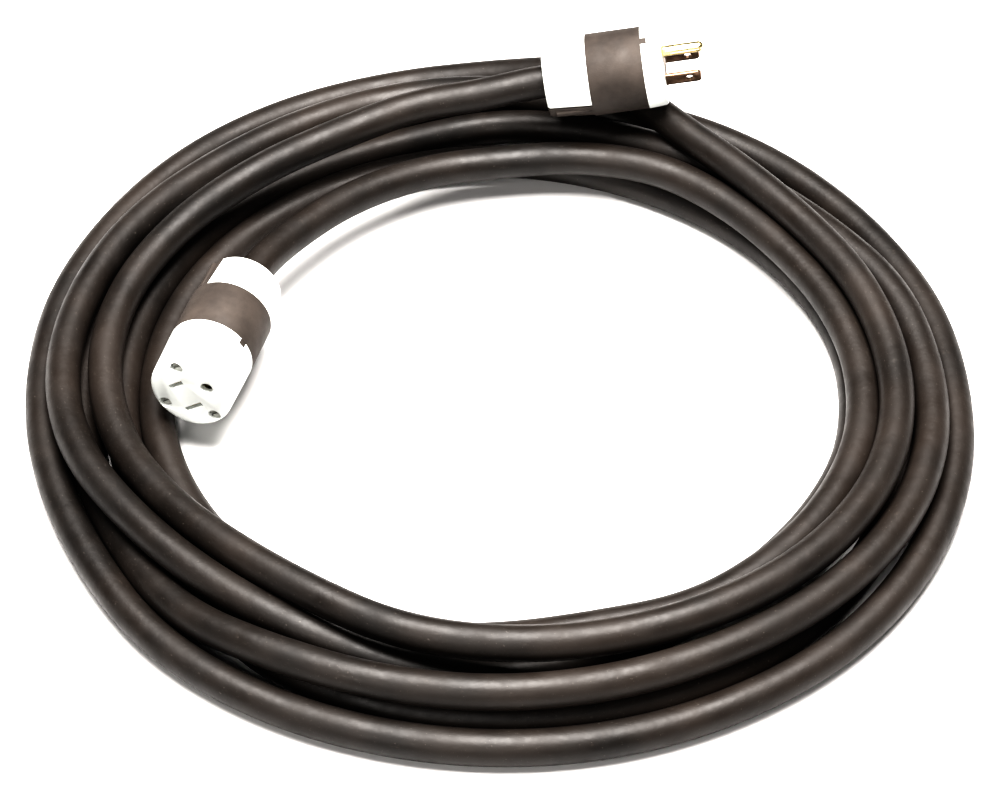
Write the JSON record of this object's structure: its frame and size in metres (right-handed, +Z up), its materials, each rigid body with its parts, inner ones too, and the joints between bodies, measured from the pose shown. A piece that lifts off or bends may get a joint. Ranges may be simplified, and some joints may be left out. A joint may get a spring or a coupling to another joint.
{
  "type": "shore power cord",
  "caption": "Heavy rubber shore power cord in a loose coil, with a straight-blade grounded plug on one end and a matching connector body on the other.",
  "frame": {"origin": "under the middle of the coil, on the surface that it lies on", "axes": "+Z up; +X to the side that the plug points to; -Y the side away from the plug"},
  "size_m": [0.4023, 0.398, 0.0765],
  "materials": {
    "white_nylon": "satin moulded nylon",
    "black_nylon": "fine textured moulded nylon",
    "cable_rubber": "smooth matt rubber jacket",
    "brass": "bright strip",
    "plated_brass": "dull nickel plate",
    "screw_steel": "zinc plated",
    "green_screw": "green dyed plating",
    "copper": "bare stranded copper",
    "carrier_plastic": "moulded thermoset",
    "core_black": "wire insulation",
    "core_white": "wire insulation",
    "core_green": "wire insulation"
  },
  "bodies": {
    "root": {"connector_bare_wire_ends": "copper", "connector_carrier": "carrier_plastic", "connector_face": "white_nylon", "connector_face_screws": "screw_steel", "connector_grip_cover": "white_nylon", "connector_grip_screws": "screw_steel", "connector_ground_contact": "brass", "connector_ground_lead": "core_green", "connector_ground_terminal_screw": "green_screw", "connector_hot_contact": "brass", "connector_hot_lead": "core_black", "connector_hot_terminal_screw": "brass", "connector_housing": "black_nylon", "connector_neutral_contact": "plated_brass", "connector_neutral_lead": "core_white", "connector_neutral_terminal_screw": "plated_brass", "connector_wire_plates": "plated_brass", "cord_coil": "cable_rubber", "cord_connector_end": "cable_rubber", "cord_plug_end": "cable_rubber", "plug_bare_wire_ends": "copper", "plug_carrier": "carrier_plastic", "plug_face": "white_nylon", "plug_face_screws": "screw_steel", "plug_grip_cover": "white_nylon", "plug_grip_screws": "screw_steel", "plug_ground_lead": "core_green", "plug_ground_pin": "brass", "plug_ground_terminal_screw": "green_screw", "plug_hot_blade": "brass", "plug_hot_lead": "core_black", "plug_hot_terminal_screw": "brass", "plug_housing": "black_nylon", "plug_neutral_blade": "plated_brass", "plug_neutral_lead": "core_white", "plug_neutral_terminal_screw": "plated_brass", "plug_wire_plates": "plated_brass"}
  },
  "joints": []
}
